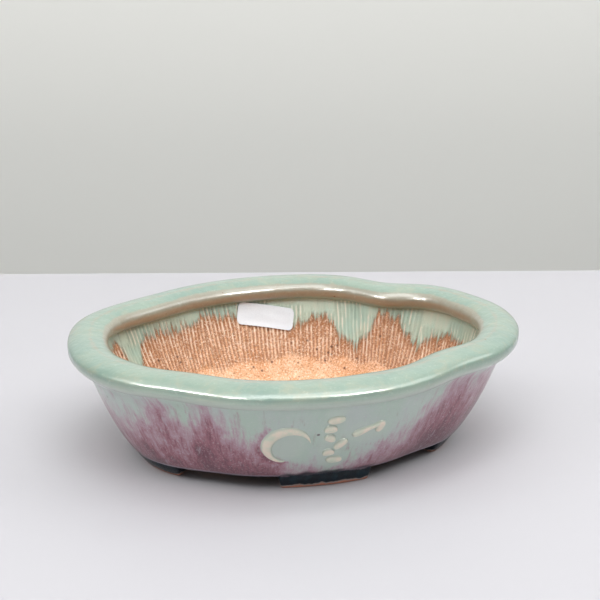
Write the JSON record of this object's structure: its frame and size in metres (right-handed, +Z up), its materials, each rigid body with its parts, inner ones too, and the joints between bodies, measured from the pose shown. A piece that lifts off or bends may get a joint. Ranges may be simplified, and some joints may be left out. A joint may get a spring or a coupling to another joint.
{
  "type": "bonsai pot",
  "caption": "Four-lobed glazed stoneware bonsai pot with a rolled rim, slab feet, drain holes and combed bare-clay inside.",
  "frame": {"origin": "on the surface the feet stand on, under the middle of the pot", "axes": "+X along the pot's long axis, +Y from the relief face to the back, +Z up"},
  "size_m": [0.188, 0.146, 0.0539],
  "materials": {
    "bare_clay": "matte, unglazed, gritty",
    "flambe_glaze": "glossy, celadon over plum, streaked",
    "celadon_glaze": "glossy",
    "foot_glaze": "glossy, thick and dark, clay bare at the ground",
    "cream_slip": "satin",
    "label_paper": "satin, blank"
  },
  "bodies": {
    "root": {"floor_slab": "bare_clay", "bowl_wall": "flambe_glaze", "rim_roll": "celadon_glaze", "foot_front": "foot_glaze", "foot_right": "foot_glaze", "foot_back": "foot_glaze", "foot_left": "foot_glaze", "moon_relief": "cream_slip", "leaf_relief": "cream_slip", "wisp_relief": "cream_slip", "stock_label": "label_paper"}
  },
  "joints": []
}
